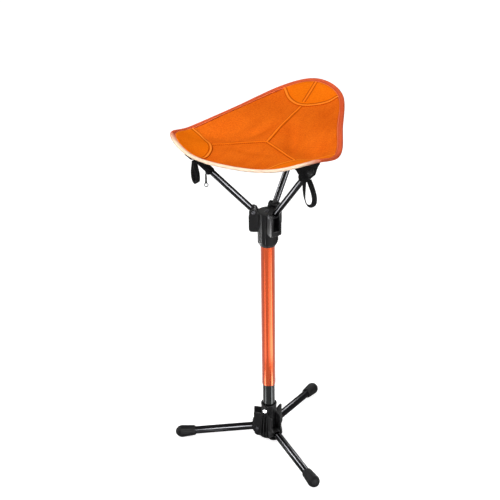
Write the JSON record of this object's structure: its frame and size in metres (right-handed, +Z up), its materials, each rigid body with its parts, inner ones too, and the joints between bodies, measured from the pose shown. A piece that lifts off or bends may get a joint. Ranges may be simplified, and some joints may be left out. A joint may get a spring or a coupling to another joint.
{
  "type": "collapsible stool",
  "caption": "Collapsible stool: telescopic twist-locked post on fold-up legs, with folding arms that spread a dished, sewn fabric seat with bound edges and pull loops at its corners.",
  "frame": {"origin": "on the floor, at the centre of the stool's box seen from above, with the post's axis 26 mm towards the front", "axes": "+Z up along the post, the sitter faces -Y, the seat's high corner is at the rear on +Y, +X is the sitter's left hand; left and right in node names are as seen from the front, looking along +Y"},
  "size_m": [0.349, 0.3434, 0.7387],
  "materials": {
    "black_plastic": "moulded, fine grain",
    "black_tube": "black anodised",
    "orange_tube": "orange anodised",
    "rubber": "matt",
    "steel": "plain",
    "dark_steel": "blackened",
    "nylon": "natural",
    "orange_fabric": "woven nylon",
    "binding_tape": "folded tape",
    "black_fabric": "webbing"
  },
  "bodies": {
    "base": {"base_hub": "black_plastic", "base_cover": "black_plastic", "cover_screw": "dark_steel", "leg_pin_rear": "steel", "leg_pin_left": "steel", "leg_pin_right": "steel", "inner_tube": "black_tube", "snap_spring": "steel", "lock_plug": "steel", "lock_cone": "steel", "lock_nut": "steel"},
    "snap_button": {"snap_button": "steel"},
    "leg_rear": {"leg_root_rear": "black_plastic", "leg_tube_rear": "black_tube", "leg_foot_rear": "rubber"},
    "leg_left": {"leg_root_left": "black_plastic", "leg_tube_left": "black_tube", "leg_foot_left": "rubber"},
    "leg_right": {"leg_root_right": "black_plastic", "leg_tube_right": "black_tube", "leg_foot_right": "rubber"},
    "lock_sleeve": {"lock_sleeve": "nylon"},
    "upper": {"outer_tube": "orange_tube", "tube_plug": "black_plastic", "seat_hub": "black_plastic", "hub_screw": "dark_steel", "arm_pin_rear": "steel", "arm_pin_left": "steel", "arm_pin_right": "steel", "seat_panel_front": "orange_fabric", "seat_panel_left": "orange_fabric", "seat_panel_right": "orange_fabric", "corner_patch_rear": "orange_fabric", "corner_patch_left": "orange_fabric", "corner_patch_right": "orange_fabric", "edge_binding": "binding_tape"},
    "arm_rear": {"arm_root_rear": "black_plastic", "arm_tube_rear": "black_tube", "arm_cap_rear": "black_plastic", "corner_pocket_rear": "black_fabric", "pull_loop_rear": "black_fabric"},
    "arm_left": {"arm_root_left": "black_plastic", "arm_tube_left": "black_tube", "arm_cap_left": "black_plastic", "corner_pocket_left": "black_fabric", "pull_loop_left": "black_fabric", "zip_tape": "black_fabric", "zip_slider": "steel"},
    "arm_right": {"arm_root_right": "black_plastic", "arm_tube_right": "black_tube", "arm_cap_right": "black_plastic", "corner_pocket_right": "black_fabric", "pull_loop_right": "black_fabric"},
    "zip_pull": {"zip_pull": "steel"}
  },
  "joints": [
    {"name": "snap_press", "type": "slide", "parent": "base", "child": "snap_button", "axis": [0, 1, 0], "range_m": [0, 0.004], "stiffness_N_per_m": 1500, "springref_m": -0.001, "deforming": ["snap_spring"]},
    {"name": "leg_fold_rear", "type": "hinge", "parent": "base", "child": "leg_rear", "pos_m": [0, -0.00054, 0.02992], "axis": [1, 0, 0], "range_deg": [0, 93]},
    {"name": "leg_fold_left", "type": "hinge", "parent": "base", "child": "leg_left", "pos_m": [-0.02165, -0.03804, 0.02992], "axis": [-0.5, 0.866, 0], "range_deg": [0, 93]},
    {"name": "leg_fold_right", "type": "hinge", "parent": "base", "child": "leg_right", "pos_m": [0.02165, -0.03804, 0.02992], "axis": [-0.5, -0.866, 0], "range_deg": [0, 93]},
    {"name": "lock_twist", "type": "hinge", "parent": "base", "child": "lock_sleeve", "pos_m": [0, -0.02554, 0.394], "axis": [0, 0, 1], "range_deg": [0, 180]},
    {"name": "post_slide", "type": "slide", "parent": "lock_sleeve", "child": "upper", "axis": [0, 0, 1], "range_m": [-0.045, 0.15]},
    {"name": "arm_fold_rear", "type": "hinge", "parent": "upper", "child": "arm_rear", "pos_m": [0, 0.00076, 0.53642], "axis": [1, 0, 0], "range_deg": [0, 38], "deforming": ["seat_panel_front", "seat_panel_left", "seat_panel_right", "corner_patch_rear", "edge_binding"]},
    {"name": "arm_fold_left", "type": "hinge", "parent": "upper", "child": "arm_left", "pos_m": [-0.02278, -0.03869, 0.53642], "axis": [-0.5, 0.866, 0], "range_deg": [0, 38], "deforming": ["seat_panel_front", "seat_panel_left", "seat_panel_right", "corner_patch_left", "edge_binding"]},
    {"name": "arm_fold_right", "type": "hinge", "parent": "upper", "child": "arm_right", "pos_m": [0.02278, -0.03869, 0.53642], "axis": [-0.5, -0.866, 0], "range_deg": [0, 38], "deforming": ["seat_panel_front", "seat_panel_left", "seat_panel_right", "corner_patch_right", "edge_binding"]},
    {"name": "zip_swing", "type": "hinge", "parent": "arm_left", "child": "zip_pull", "pos_m": [-0.09978, -0.08314, 0.61237], "axis": [-0.5, 0.866, 0], "range_deg": [-25, 24]}
  ]
}
